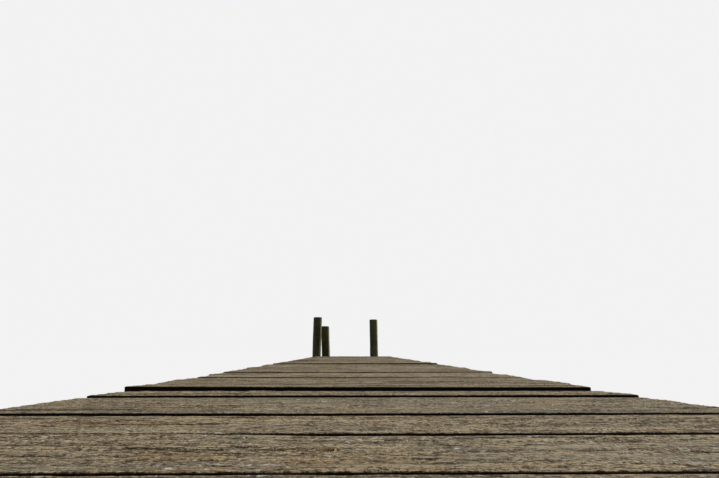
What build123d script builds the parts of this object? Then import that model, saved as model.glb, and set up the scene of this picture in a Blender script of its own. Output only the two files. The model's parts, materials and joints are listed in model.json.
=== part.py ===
from build123d import *
import os
import random

# A narrow wooden lake jetty: sawn boards laid across three lines of stringers,
# which sit on pairs of crossbeams clamped round rows of driven timber piles.
# X runs across the deck, Y along it towards the open water, Z up from the water line.
# Sizes are in millimetres. The rows of piles are called bents.

# Deck boards
deck_height = 600.0  # nominal board top above the water line
board_length = 1200.0
board_width = 196.0
board_thickness = 45.0
board_gap = 9.0
wide_board_width = 335.0
wide_board_place = 8  # counted from the shore end, which is board 0
worn_arris = 5.0
sawn_arris = 2.0
ragged_end = 20.0  # how far a board's end may stand in or out
yaw_spread = 0.12  # degrees that a board may lie out of square
board_seed = 23  # draws each board's length, shift and yaw
# Sawn boards are never quite alike: these shares of the width and thickness come round in turn.
width_shares = (1.0, 1.04, 0.96, 1.02, 0.98, 1.01, 0.995, 0.995, 1.0, 1.06, 0.89, 1.2, 0.93)
thickness_shares = (1.01, 1.02, 1.0, 1.07, 1.04, 0.98, 1.0)

# Bays and stringers
bay_length = 2000.0
bay_count = 5
shore_overhang = 50.0  # deck past the first crossbeam
stringer_width = 80.0
stringer_depth = 160.0
stringer_inset = 120.0  # deck's side to the centre of an outer stringer
notch_depth = 15.0
notch_clearance = 1.0
timber_arris = 4.0
splice_spacing = 2  # bays between splices in one line

# Crossbeams and piles
beam_thickness = 80.0
beam_depth = 160.0
beam_end_margin = 30.0
pile_diameter = 140.0  # where the crossbeams seat
pile_taper = 6.0  # lost in each metre downwards, because a trunk is driven tip first
pile_inset = 240.0  # deck's side to the centre of a pile
pile_dap = 20.0  # depth of the flat cut where a crossbeam seats
pile_head_drop = 30.0  # pile head below the top of the crossbeams
lean_spread = 0.8  # degrees
lean_seed = 5  # draws each pile's lean
metre = 1000.0

# Posts at the lake end
post_clearance = 8.0  # deck end to the posts
post_side_step = 9.0  # tall post's centre outside the deck's side
stub_inset = 240.0  # deck's side to the centre of the pile stub
post_spacing = 165.0  # tall post to short post, across the deck
tall_post_rise = 650.0  # above the deck
short_post_rise = 506.0
stub_rise = 90.0
tall_post_lean = 1.0  # degrees, inwards
short_post_lean = -2.5
post_top_chamfer = 14.0
stub_top_chamfer = 7.0

pile_radius = pile_diameter / 2
flat = pile_radius - pile_dap  # pile centre to the face that a crossbeam seats on
beam_reach = flat + beam_thickness  # pile centre to a crossbeam's outer face
stringer_top = deck_height - board_thickness
stringer_bottom = stringer_top - stringer_depth
beam_top = stringer_bottom + notch_depth
beam_bottom = beam_top - beam_depth
pile_head = beam_top - pile_head_drop
deck_side = board_length / 2
stringer_spread = deck_side - stringer_inset
pile_spread = deck_side - pile_inset
beam_half_length = deck_side + post_side_step + pile_radius + beam_end_margin
lake_bent = bay_length * bay_count
deck_start = -beam_reach - shore_overhang
deck_end = lake_bent - pile_radius - post_clearance
beyond = 4 * pile_diameter  # safe overshoot of a cutting box


def block(low, high):
    """A plain box between two corners."""
    size = [top - bottom for bottom, top in zip(low, high)]
    return Pos(*low) * Box(*size, align=(Align.MIN, Align.MIN, Align.MIN))


def bar(length, width, depth, top_arris, bottom_arris):
    """A sawn bar along X, its middle over the origin and its underside on Z = 0."""
    half = width / 2
    outline = Polyline(
        (-half, bottom_arris),
        (bottom_arris - half, 0),
        (half - bottom_arris, 0),
        (half, bottom_arris),
        (half, depth - top_arris),
        (half - top_arris, depth),
        (top_arris - half, depth),
        (-half, depth - top_arris),
        close=True,
    )
    return extrude(Plane.YZ * make_face(outline), length / 2, both=True)


def board_widths():
    """Board widths from the shore end on, scaled a little so that they fill the deck."""
    length = deck_end - deck_start
    widths = []
    while sum(widths) + board_gap * len(widths) + board_width / 2 < length:
        place = len(widths)
        if place == wide_board_place:
            widths.append(wide_board_width)
        else:
            widths.append(board_width * width_shares[place % len(width_shares)])
    scale = (length - board_gap * (len(widths) - 1)) / sum(widths)
    return [width * scale for width in widths]


def deck_boards():
    """Boards of each bay as a list of lists, their ends and angles a little uneven."""
    chance = random.Random(board_seed)
    bays = [[] for _ in range(bay_count)]
    edge = deck_start
    for place, width in enumerate(board_widths()):
        length = board_length + chance.uniform(-1, 1) * ragged_end
        shift = chance.uniform(-1, 1) * ragged_end / 2
        thickness = board_thickness * thickness_shares[place % len(thickness_shares)]
        yaw = chance.uniform(-1, 1) * yaw_spread
        middle = edge + width / 2
        piece = bar(length, width, thickness, worn_arris, sawn_arris)
        bay = min(int(max(middle, 0) // bay_length), bay_count - 1)
        bays[bay].append(Pos(shift, middle, stringer_top) * Rot(0, 0, yaw) * piece)
        edge += width + board_gap
    return bays


def bents():
    """Y of each row of piles, from the shore end on."""
    return [bay_length * number for number in range(bay_count + 1)]


def stringer(start, end, splice_before, splice_after):
    """One length of stringer on the centre line, notched over the crossbeams that it crosses.

    A splice is a halved joint above a bent: the length nearer the shore runs on as its lower
    half, and the next length starts as its upper half.
    """
    low = start - beam_reach if splice_before else start
    high = end + beam_reach if splice_after else end
    solid = bar(high - low, stringer_width, stringer_depth, timber_arris, timber_arris)
    solid = Pos(0, (low + high) / 2, stringer_bottom) * Rot(0, 0, 90) * solid
    middle = stringer_bottom + stringer_depth / 2
    side = stringer_width
    if splice_after:
        solid -= block((-side, end - beam_reach, middle), (side, high + side, deck_height))
    if splice_before:
        solid -= block((-side, low - side, 0), (side, start + beam_reach, middle))
    for bent in bents():
        for near in (-beam_reach, flat):
            seat = bent + near - notch_clearance
            far = seat + beam_thickness + 2 * notch_clearance
            if far > low and seat < high:
                solid -= block((-side, seat, 0), (side, far, beam_top))
    return solid


def stringer_line(name, x, first_splice):
    """All lengths of one line of stringers, spliced at every second bent."""
    splices = [bay_length * n for n in range(first_splice, bay_count, splice_spacing)]
    starts = [deck_start] + splices
    ends = splices + [deck_end]
    lengths = {}
    for number, (start, end) in enumerate(zip(starts, ends), 1):
        piece = stringer(start, end, number > 1, number < len(starts))
        lengths[f"stringer_{name}_{number}"] = Pos(x, 0, 0) * piece
    return lengths


def crossbeam(bent, near):
    """One crossbeam of a clamping pair, its near face at a distance from the piles' centres."""
    solid = bar(2 * beam_half_length, beam_thickness, beam_depth, timber_arris, timber_arris)
    return Pos(0, bent + near + beam_thickness / 2, beam_bottom) * solid


def pole(x, y, rise, lean_across, lean_along, chamfer_size):
    """A round pile standing on the water line, leaning about its seat between the crossbeams."""
    seat = (beam_bottom + beam_top) / 2
    low = -seat - beyond
    high = rise - seat
    slope = pile_taper / 2 / metre
    solid = Cone(pile_radius + low * slope, pile_radius + high * slope, high - low)
    solid = Pos(0, 0, (low + high) / 2) * solid
    if chamfer_size:
        rim = solid.edges().filter_by(GeomType.CIRCLE).sort_by(Axis.Z)[-1]
        solid = chamfer(rim, chamfer_size)
    solid = Pos(x, y, seat) * Rot(-lean_along, lean_across, 0) * solid
    return solid - block((x - beyond, y - beyond, -2 * beyond), (x + beyond, y + beyond, 0))


def dap(x, near, far):
    """The wood cut away for a crossbeam's seat, from one Y to another."""
    return block((x - pile_diameter, near, beam_bottom), (x + pile_diameter, far, beam_top))


def clamped_pile(x, y, rise, lean_across, lean_along, chamfer_size=0):
    """A pile with a flat on each side for its pair of crossbeams."""
    solid = pole(x, y, rise, lean_across, lean_along, chamfer_size)
    solid -= dap(x, y - beyond, y - flat)
    return solid - dap(x, y + flat, y + beyond)


def cut_pile(x, y, lean_across, lean_along):
    """A pile sawn off level between its crossbeams, under the deck."""
    solid = clamped_pile(x, y, beam_top + pile_diameter, lean_across, lean_along)
    return solid - block((x - beyond, y - beyond, pile_head), (x + beyond, y + beyond, pile_head + beyond))


def piles():
    """Every pile and post by name."""
    chance = random.Random(lean_seed)
    named = {}
    for number, bent in enumerate(bents()[:-1], 1):
        for side, x in (("left", -pile_spread), ("right", pile_spread)):
            across = chance.uniform(-1, 1) * lean_spread
            along = chance.uniform(-1, 1) * lean_spread
            named[f"pile_{number}_{side}"] = cut_pile(x, bent, across, along)
    number = bay_count + 1
    named[f"pile_{number}_right_stub"] = clamped_pile(
        deck_side - stub_inset, lake_bent, deck_height + stub_rise, 0, 0, stub_top_chamfer
    )
    tall_x = -deck_side - post_side_step
    named["mooring_post_tall"] = clamped_pile(
        tall_x, lake_bent, deck_height + tall_post_rise, tall_post_lean, 0, post_top_chamfer
    )
    short_x = tall_x + post_spacing
    short_y = lake_bent + beam_reach + flat
    short_post = pole(
        short_x, short_y, deck_height + short_post_rise, short_post_lean, 0, post_top_chamfer
    )
    named["mooring_post_short"] = short_post - dap(short_x, short_y - beyond, short_y - flat)
    return named


def jetty():
    """Every piece of the jetty by name, with the first bent at Y = 0."""
    pieces = piles()
    for number, bent in enumerate(bents(), 1):
        pieces[f"crossbeam_{number}_shore_side"] = crossbeam(bent, -beam_reach)
        pieces[f"crossbeam_{number}_lake_side"] = crossbeam(bent, flat)
    pieces |= stringer_line("left", -stringer_spread, splice_spacing)
    pieces |= stringer_line("middle", 0, splice_spacing - 1)
    pieces |= stringer_line("right", stringer_spread, splice_spacing)
    for number, boards in enumerate(deck_boards(), 1):
        pieces[f"deck_boards_bay_{number}"] = Compound(boards)
    return pieces


def main():
    pieces = jetty()
    whole = Compound(list(pieces.values())).bounding_box()
    to_origin = Pos(-whole.center().X, -whole.center().Y, -whole.min.Z)
    os.makedirs("parts", exist_ok=True)
    for name, piece in pieces.items():
        export_step(to_origin * piece, f"parts/{name}.step")
    size = whole.size
    print(f"{len(pieces)} nodes, {size.X:.1f} by {size.Y:.1f} by {size.Z:.1f} mm")
    print(f"first bent at Y {to_origin.position.Y:.3f} mm, middle of the deck at X {to_origin.position.X:.3f} mm")


main()
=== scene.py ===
# %% [markdown]
# A weathered wooden jetty, finished for rendering
#
# The construction of the jetty is already solid: boards on stringers, stringers on pairs of
# crossbeams, and crossbeams bolted round driven piles. This lesson gives it the look of timber
# that has stood in the open for years. It loads the construction as a frame that nothing moves,
# measures every place from it, and then builds finer meshes over the boards, beams and piles.
#
# %% Load the construction and keep its box
import json
from math import asin, atan2, cos, pi, radians, sin, sqrt

import bmesh
import bpy
import numpy as np
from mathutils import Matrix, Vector

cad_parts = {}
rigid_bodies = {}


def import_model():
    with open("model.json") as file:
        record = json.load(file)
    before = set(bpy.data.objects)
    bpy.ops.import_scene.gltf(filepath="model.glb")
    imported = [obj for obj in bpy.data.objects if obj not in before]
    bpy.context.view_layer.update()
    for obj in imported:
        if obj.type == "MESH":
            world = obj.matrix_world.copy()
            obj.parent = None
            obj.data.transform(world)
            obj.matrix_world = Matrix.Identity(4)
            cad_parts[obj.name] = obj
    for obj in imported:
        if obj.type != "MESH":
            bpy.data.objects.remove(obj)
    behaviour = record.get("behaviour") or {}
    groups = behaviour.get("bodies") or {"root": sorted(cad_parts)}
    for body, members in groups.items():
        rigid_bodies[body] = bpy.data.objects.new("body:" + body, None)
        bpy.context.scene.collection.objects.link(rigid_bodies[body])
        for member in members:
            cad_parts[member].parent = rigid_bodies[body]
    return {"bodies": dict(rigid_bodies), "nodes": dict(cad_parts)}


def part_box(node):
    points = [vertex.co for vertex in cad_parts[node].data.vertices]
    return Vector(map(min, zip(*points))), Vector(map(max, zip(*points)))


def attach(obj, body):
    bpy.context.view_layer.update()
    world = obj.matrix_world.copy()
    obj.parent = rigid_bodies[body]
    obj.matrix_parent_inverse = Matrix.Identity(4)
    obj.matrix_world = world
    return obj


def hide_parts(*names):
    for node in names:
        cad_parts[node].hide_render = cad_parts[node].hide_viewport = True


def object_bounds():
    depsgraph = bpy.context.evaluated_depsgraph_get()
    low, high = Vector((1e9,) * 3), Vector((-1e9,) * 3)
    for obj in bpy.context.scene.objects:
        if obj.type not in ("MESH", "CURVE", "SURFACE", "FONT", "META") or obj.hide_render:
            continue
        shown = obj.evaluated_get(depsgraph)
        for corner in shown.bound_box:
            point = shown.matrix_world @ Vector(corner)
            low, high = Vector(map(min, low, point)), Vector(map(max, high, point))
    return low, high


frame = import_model()
cad_low, cad_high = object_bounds()
nodes = frame["nodes"]
BODY = next(iter(frame["bodies"]))
print("construction", len(nodes), "nodes, box", tuple(cad_low), tuple(cad_high))

# %% [markdown]
# Places that the rest of the lesson needs
#
# Everything stands where the construction says. The boards are found as loose shells inside each
# bay's node. A board's length, width, thickness and angle could be typed in again, but measured
# ones can never disagree with the solids that carry them.
#
# %% Find the separate shells of a node
MERGE = 1e-5


def shells(node):
    """Corner places of each separate solid in a node, as arrays, from the lowest Y on."""
    work = bmesh.new()
    work.from_mesh(nodes[node].data)
    bmesh.ops.remove_doubles(work, verts=work.verts, dist=MERGE)
    loose = set(work.verts)
    found = []
    while loose:
        front = [loose.pop()]
        group = []
        while front:
            corner = front.pop()
            group.append(tuple(corner.co))
            for edge in corner.link_edges:
                other = edge.other_vert(corner)
                if other in loose:
                    loose.remove(other)
                    front.append(other)
        found.append(np.array(group))
    work.free()
    return sorted(found, key=lambda corners: corners[:, 1].mean())


def sawn_bar(corners):
    """Centre, size and turn of a straight bar that lies along X, from the corners of its solid."""
    low, high = corners.min(0), corners.max(0)
    centre = (low + high) / 2
    right = corners[corners[:, 0] > centre[0]]
    left = corners[corners[:, 0] < centre[0]]
    length = right[:, 0].mean() - left[:, 0].mean()
    turn = atan2(right[:, 1].mean() - left[:, 1].mean(), length)
    width = high[1] - low[1] - abs(length * sin(turn))
    return {"centre": centre, "size": (length, width, high[2] - low[2]), "turn": turn}


def named(*starts):
    """Names of the nodes that start in one of these ways, in order."""
    return sorted(name for name in nodes if name.startswith(starts))


bay_nodes, beam_nodes = named("deck_boards"), named("crossbeam")
stringer_nodes, pole_nodes = named("stringer"), named("pile", "mooring")
boards = {bay: [sawn_bar(shell) for shell in shells(bay)] for bay in bay_nodes}
beams = {name: sawn_bar(shells(name)[0]) for name in beam_nodes}
deck_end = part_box(bay_nodes[-1])[1].y
print("boards", [len(bay) for bay in boards.values()], "deck ends at", round(deck_end, 3))

# %% [markdown]
# Camera
#
# The photograph was taken with the camera almost lying on the boards and tipped up a little, so
# the deck is a low wedge that runs out to three posts. The row where its sides would meet and the
# sizes of boards near and far give the height, the lens and the tilt. The camera is placed first
# because the boards close to it get the finest meshes.
#
# %% Place the camera
FRAME_WIDTH = 719
FOCAL_PIXELS = 548
SENSOR = 36.0
VANISHING_X = 351.0  # pixel column where the two sides of the deck meet
TILT_UP = radians(11.5)
EYE_HEIGHT = 0.096  # above the deck
EYE_X = -0.03
EYE_TO_DECK_END = 9.33
DECK_TOP = 0.6001


def put_in_scene(name, data):
    """A new object in the scene."""
    made = bpy.data.objects.new(name, data)
    bpy.context.scene.collection.objects.link(made)
    return made


eye = Vector((EYE_X, deck_end - EYE_TO_DECK_END, DECK_TOP + EYE_HEIGHT))
camera = put_in_scene("camera", bpy.data.cameras.new("camera"))
camera.data.sensor_width = SENSOR
camera.data.lens = FOCAL_PIXELS * SENSOR / FRAME_WIDTH
camera.data.clip_start = 0.01
camera.data.clip_end = 400.0
camera.location = eye
turn_right = asin((FRAME_WIDTH / 2 - VANISHING_X) / FOCAL_PIXELS)
camera.rotation_euler = (pi / 2 + TILT_UP, 0.0, -turn_right)
bpy.context.scene.camera = camera
print("eye", tuple(round(v, 3) for v in eye), "lens", round(camera.data.lens, 1), "mm")

# %% [markdown]
# Sums on shader sockets
#
# A wood finish is mostly arithmetic: stretch the coordinates along the grain, take some noise,
# push it through a curve, mix two colours. Wiring each Math node by hand hides that, so a small
# class lets a socket stand in an ordinary Python sum, and one method makes every other node. The
# same method builds the Geometry Nodes trees for nails and bolts further down.
#
# %% Wires and graphs
class Wire:
    """An output socket that can be used in sums, which become Math nodes."""

    def __init__(self, tree, socket):
        self.tree = tree
        self.socket = socket

    def sum(self, operation, *values):
        node = self.tree.nodes.new("ShaderNodeMath")
        node.operation = operation
        for place, value in enumerate(values):
            plug(self.tree, node.inputs[place], value)
        return Wire(self.tree, node.outputs[0])

    def __abs__(self):
        return self.sum("ABSOLUTE", self)


def overload(sign, operation):
    """Makes a sign between wires and numbers, in either order, add a Math node."""
    setattr(Wire, f"__{sign}__", lambda self, other: self.sum(operation, self, other))
    setattr(Wire, f"__r{sign}__", lambda self, other: self.sum(operation, other, self))


for sign, operation in (("add", "ADD"), ("sub", "SUBTRACT"), ("mul", "MULTIPLY"), ("pow", "POWER")):
    overload(sign, operation)


def plug(tree, socket, value):
    """Links a wire to a socket, or writes a plain value on it."""
    if isinstance(value, Wire):
        tree.links.new(value.socket, socket)
    else:
        socket.default_value = value


def pick(sockets, name):
    """The socket of that name among those that the node's settings leave in use."""
    return next(s for s in sockets if s.enabled and name in (s.name, s.identifier))


class Graph:
    """A node tree in the making."""

    def __init__(self, tree):
        self.tree = tree
        self.tree.nodes.clear()

    def add(self, kind, settings, inputs, output=None):
        """Any node: its settings go first, then the values or wires of its sockets."""
        node = self.tree.nodes.new(kind)
        for name, value in settings.items():
            if name == "stops":
                stops = node.color_ramp.elements
                while len(stops) < len(value):
                    stops.new(1.0)
                for stop, (place, colour) in zip(stops, value):
                    stop.position = place
                    stop.color = (*colour, 1.0)
            else:
                setattr(node, name, value)
        for name, value in inputs.items():
            plug(self.tree, pick(node.inputs, name), value)
        if output:
            return Wire(self.tree, pick(node.outputs, output))
        return Wire(self.tree, next((s for s in node.outputs if s.enabled), None))


# %% Recipes for materials
class Recipe(Graph):
    """A material in the making."""

    def __init__(self, name):
        self.material = bpy.data.materials.new(name)
        self.material.use_nodes = True
        super().__init__(self.material.node_tree)

    def noise(self, vector, scale, detail, roughness):
        """Noise from 0 to 1 on coordinates that are stretched, each axis by its own number."""
        factors = {"Vector": vector, "Vector_001": scale}
        stretched = self.add("ShaderNodeVectorMath", {"operation": "MULTIPLY"}, factors)
        inputs = {"Vector": stretched, "Scale": 1.0, "Detail": detail, "Roughness": roughness}
        return self.add("ShaderNodeTexNoise", {}, inputs, "Fac")

    def wave(self, angle):
        """A sine that swings from 0 to 1."""
        return angle.sum("SINE", angle) * 0.5 + 0.5

    def curve(self, value, low, high, to_low=0.0, to_high=1.0):
        """A soft step: low and under gives to_low, high and over gives to_high."""
        inputs = {"Value": value, "From Min": low, "From Max": high}
        inputs |= {"To Min": to_low, "To Max": to_high}
        return self.add("ShaderNodeMapRange", {"interpolation_type": "SMOOTHSTEP"}, inputs, "Result")

    def mix(self, share, first, second, blend="MIX"):
        """Two colours mixed, each of them a wire or a plain colour."""
        first = first if isinstance(first, Wire) else (*first, 1.0)
        second = second if isinstance(second, Wire) else (*second, 1.0)
        settings = {"data_type": "RGBA", "blend_type": blend, "clamp_factor": True}
        inputs = {"Factor": share, "A": first, "B": second}
        return self.add("ShaderNodeMix", settings, inputs, "Result")

    def ramp(self, value, stops):
        """A colour ramp."""
        return self.add("ShaderNodeValToRGB", {"stops": stops}, {"Fac": value}, "Color")

    def attribute(self, name, output="Fac"):
        """An attribute of the mesh."""
        return self.add("ShaderNodeAttribute", {"attribute_name": name}, {}, output)

    def split(self, vector):
        """The three numbers of a vector."""
        node = self.tree.nodes.new("ShaderNodeSeparateXYZ")
        plug(self.tree, node.inputs[0], vector)
        return [Wire(self.tree, socket) for socket in node.outputs]

    def surface(self, colour, roughness, height, depth, **plain):
        """Ends the recipe in a Principled shader. Plain values go on its own sockets."""
        inputs = {"Base Color": colour, "Roughness": roughness, **plain}
        if height is not None:
            bump = {"Strength": 1.0, "Distance": depth, "Height": height}
            inputs["Normal"] = self.add("ShaderNodeBump", {}, bump)
        shader = self.add("ShaderNodeBsdfPrincipled", {}, inputs, "BSDF")
        self.add("ShaderNodeOutputMaterial", {}, {"Surface": shader})
        return self.material


# %% [markdown]
# Weathered wood
#
# Softwood left outside loses its soft early rings first, so the hard rings and fibres stand up
# as fine ridges. Sun and rain bleach the ridges silver and leave the hollows brown, patches of
# tan and green film grow where rain lies, and thin checks open along the grain. All of that
# runs along the fibres, so the finish reads an attribute in which the first number is the
# distance along the grain. Each piece of timber carries its own coordinates, and no two boards
# share a pattern. The same recipe serves boards, beams and round piles, with other colours.
#
# %% The wood recipe
RING = 0.0042  # from one growth ring to the next
GRAIN_NOISES = {  # bumps in a metre along the grain and across it, then detail and roughness
    "sway": (2.2, 13.0, 2.0, 0.5),
    "coarse": (34.0, 75.0, 5.0, 0.72),
    "streak": (7.0, 95.0, 5.0, 0.72),
    "fibre": (90.0, 620.0, 2.0, 0.6),
    "band": (1.6, 17.0, 3.0, 0.55),
    "blotch": (8.0, 19.0, 4.0, 0.6),
    "grit": (170.0, 170.0, 4.0, 0.85),
    "speck": (420.0, 420.0, 2.0, 0.7),
    "check": (3.2, 62.0, 3.0, 0.5),
    "checked": (5.0, 9.0, 2.0, 0.5),
    "fleck": (90.0, 120.0, 3.0, 0.65),
    "flecked": (11.0, 19.0, 2.0, 0.5),
    "pit": (55.0, 110.0, 4.0, 0.72),
}
STANDS_UP = {  # share of each in the height of the hard rings and fibres
    "coarse": 0.07,
    "streak": 0.14,
    "fibre": 0.22,
    "grit": 0.4,
    "speck": 0.13,
    "ring": 0.02,
    "band": 0.02,
}


def wood(name, palette, bump=0.0038, pith=(0.0, -0.05), grain=None):
    """A weathered wood material: a palette names its colours, and pith says where its rings centre."""
    paint = Recipe(name)
    carried = grain is None
    grain = paint.attribute("grain", "Vector") if carried else grain(paint)
    across, depth = paint.split(grain)[1:]
    drawn = {}
    for title, (lengthways, crossways, *finer) in GRAIN_NOISES.items():
        drawn[title] = paint.noise(grain, (lengthways, crossways, crossways), *finer)
    reach = ((across - pith[0]) ** 2.0 + (depth - pith[1]) ** 2.0) ** 0.5
    drawn["ring"] = paint.wave(reach * (2 * pi / RING) + drawn["sway"] * 16.0)

    # The light parts of the colour are the tops of what stands up.
    raised = sum(drawn[title] * share for title, share in STANDS_UP.items())
    if carried:
        raised = raised + paint.attribute("rise") * 0.05
    colour = paint.ramp(
        paint.curve(raised, 0.44, 0.56),
        [(0.0, palette["hollow"]), (0.3, palette["body"]), (1.0, palette["ridge"])],
    )
    coats = [
        ("tan", paint.curve(drawn["blotch"], 0.5, 0.66) * palette["tan_share"], "MULTIPLY"),
        ("grey", paint.curve(drawn["band"], 0.48, 0.66) * palette["grey_share"], "MIX"),
    ]

    # Iso-lines of a noise that is drawn out along the grain are long and hair thin, as checks are.
    check = paint.curve(abs(drawn["check"] - 0.5), 0.0, 0.009, 1.0, 0.0)
    check = check * paint.curve(drawn["checked"], 0.45, 0.58)
    coats.append(("check", check * 0.85, "MIX"))

    # Pale flecks of torn fibre, and dark pits.
    fleck = paint.curve(drawn["fleck"], 0.6, 0.65) * paint.curve(drawn["flecked"], 0.4, 0.6)
    pit = paint.curve(drawn["pit"], 0.345, 0.37, 1.0, 0.0)
    coats += [("fleck", fleck * palette["fleck_share"], "MIX"), ("check", pit * 0.95, "MIX")]

    height = raised * 1.1 + drawn["grit"] * 0.3 + drawn["speck"] * 0.1
    height = height - check * 0.8 - pit * 0.4 + fleck * 0.3
    if carried:
        knot = paint.attribute("knot")
        knot_colour = paint.mix(paint.wave(knot * 42.0), palette["knot"], palette["knot_edge"])
        palette = palette | {"knot": knot_colour}
        # On board sides in the gaps these numbers are painted shade; on beams and piles they are damp.
        damp = paint.attribute("damp")
        coats += [
            ("knot", paint.curve(knot, 0.02, 0.2), "MULTIPLY"),
            ("end", paint.attribute("cut") * 0.6, "MULTIPLY"),
            # Cracks are painted dark, and so are the rims of flakes, as painted shade at their steps.
            ("check", paint.curve(paint.attribute("crack"), 0.1, 0.75), "MIX"),
            ("stain", paint.attribute("stain") * 0.75, "MIX"),
            # A dark brown band at the top, then near black: painted shade down board sides in the
            # gaps, and damp on beams and piles.
            ("edge", paint.curve(damp, 0.0, 0.5, 0.0, 0.8), "MIX"),
            ("damp", paint.curve(damp, 0.3, 0.9), "MIX"),
        ]
    for title, share, blend in coats:
        colour = paint.mix(share, colour, palette[title], blend)
    if carried:
        # On piles the tone also holds painted sunlight and painted shade, by side.
        light = 1.0 + paint.attribute("tone") * 0.14
        colour = paint.add("ShaderNodeHueSaturation", {}, {"Value": light, "Color": colour})
    roughness = 0.9 - paint.curve(raised, 0.35, 0.7) * 0.2
    return paint.surface(colour, roughness, height, bump, **{"Specular IOR Level": 0.05})


# %% Colours of the deck
DECK = {
    "hollow": (0.036, 0.026, 0.016),
    "body": (0.135, 0.099, 0.057),
    "ridge": (0.44, 0.363, 0.234),
    "tan": (1.0, 0.8, 0.54),
    "tan_share": 0.5,
    "grey": (0.165, 0.148, 0.118),
    "grey_share": 0.35,
    "check": (0.008, 0.006, 0.004),
    "fleck": (0.6, 0.57, 0.49),
    "fleck_share": 0.85,
    "knot": (0.22, 0.16, 0.11),
    "knot_edge": (0.6, 0.5, 0.4),
    "end": (0.45, 0.4, 0.34),
    "stain": (0.03, 0.021, 0.015),
    # The next two colours paint shade on board sides in the gaps: dark brown at the top, near black
    # below.
    "edge": (0.085, 0.043, 0.024),
    "damp": (0.006, 0.005, 0.004),
}
deck_wood = wood("weathered_deck", DECK)
print(deck_wood.name, "made of", len(deck_wood.node_tree.nodes), "nodes")

# %% Colours of the timber underneath, which stays damp and green
DAMP_TIMBER = DECK | {
    "hollow": (0.03, 0.024, 0.012),
    "body": (0.095, 0.078, 0.045),
    "ridge": (0.19, 0.165, 0.105),
    "grey": (0.085, 0.09, 0.052),
    "grey_share": 0.6,
    "fleck": (0.27, 0.28, 0.22),
    "fleck_share": 0.5,
    "edge": (0.05, 0.05, 0.026),
    "damp": (0.022, 0.028, 0.012),
}
POLE_TIMBER = DAMP_TIMBER | {
    "hollow": (0.022, 0.019, 0.009),
    "body": (0.07, 0.064, 0.034),
    "ridge": (0.16, 0.155, 0.085),
    "grey": (0.1, 0.11, 0.05),
}


def along_the_jetty(paint):
    """Grain of a piece that lies along Y, from its place in the object."""
    place = paint.add("ShaderNodeTexCoord", {}, {}, "Object")
    x, y, z = paint.split(place)
    return paint.add("ShaderNodeCombineXYZ", {}, {"X": y, "Y": x, "Z": z})


beam_wood = wood("damp_beam_timber", DAMP_TIMBER)
stringer_wood = wood("damp_stringer_timber", DAMP_TIMBER, grain=along_the_jetty)
pole_wood = wood("weathered_pile_timber", POLE_TIMBER, pith=(0.004, -0.006))
for name in stringer_nodes:
    nodes[name].data.materials.clear()
    nodes[name].data.materials.append(stringer_wood)

# %% [markdown]
# A worn bar of sawn timber
#
# A deck board is a long box, but age shows in its shape before its colour: it cups and twists,
# its arrises are walked round, chips leave the edges, knots stand proud, and cracks open from
# the ends. A cube with a bevel and bump could fake that, but the gaps between boards are seen
# edge on here, and there only real shape helps. So the bar is a grid of columns round its
# section and stations along its length, moved by smooth noise. Columns run along the grain, and
# a crack is one column pushed down between two that stay, which keeps cracks crisp and cheap.
#
# %% Smooth noise on arrays
CELLS = 64


def ripple(u, v, seed):
    """Noise from -1 to 1 with one bump to a unit, the same for the same seed.

    So a length in metres under a slash, in what is handed to it, is the length of one bump.
    """
    lattice = np.random.default_rng(seed).uniform(-1.0, 1.0, (CELLS, CELLS))
    u, v = np.broadcast_arrays(u, v)
    i, j = np.floor(u).astype(int), np.floor(v).astype(int)
    s, t = u - i, v - j
    s, t = s * s * (3 - 2 * s), t * t * (3 - 2 * t)
    i, j = i % CELLS, j % CELLS
    k, m = (i + 1) % CELLS, (j + 1) % CELLS
    near = lattice[i, j] * (1 - s) + lattice[k, j] * s
    far = lattice[i, m] * (1 - s) + lattice[k, m] * s
    return near * (1 - t) + far * t


def soft_step(x, low, high):
    """0 up to low, 1 from high on, smooth between."""
    t = np.clip((x - low) / (high - low), 0.0, 1.0)
    return t * t * (3 - 2 * t)


# %% Columns round the section of a bar
ARRIS_SHARES = np.array([0.0, 0.28, 0.62, 1.0])  # of the arris, where its columns stand


def even_places(extent, edge, step):
    """Places across an extent: those of an edge at both ends, and even ones between."""
    inner = extent / 2 - edge[-1]
    even = np.linspace(-inner, inner, max(2, int(round(2 * inner / step))) + 1)[1:-1]
    return np.concatenate([-extent / 2 + edge, even, extent / 2 - edge[::-1]])


def face_columns(extent, arris, step, cracks):
    """Places across one face, and for each the crack it is the bottom of, or -1."""
    places = even_places(extent, arris * ARRIS_SHARES, step)
    for crack in cracks:
        places = places[abs(places - crack["across"]) > 1.7 * crack["gap"]]
        places = np.append(places, crack["across"] + crack["gap"] * np.array([-1.0, 0.0, 1.0]))
    places = np.sort(places)
    owner = np.full(len(places), -1)
    for number, crack in enumerate(cracks):
        owner[np.argmin(abs(places - crack["across"]))] = number
    return places[:-1], owner[:-1]


def bar_columns(width, depth, arris, steps, cracks):
    """Columns round a section from the top left corner on: places and the crack of each."""
    around = (
        ("top", width, (0.0, depth / 2), (1.0, 0.0)),
        ("right", depth, (width / 2, 0.0), (0.0, -1.0)),
        ("bottom", width, (0.0, -depth / 2), (-1.0, 0.0)),
        ("left", depth, (-width / 2, 0.0), (0.0, 1.0)),
    )
    parts = []
    for face, extent, middle, way in around:
        own = [crack for crack in cracks if crack["face"] == face]
        places, owner = face_columns(extent, arris, steps[face], own)
        index = np.array([cracks.index(own[k]) if k >= 0 else -1 for k in owner])
        parts.append((middle[0] + way[0] * places, middle[1] + way[1] * places, index))
    return [np.concatenate(column) for column in zip(*parts)]


# %% Faces of a tube and of its two ends
CAP_SHARES = (0.86, 0.6, 0.3)


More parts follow.
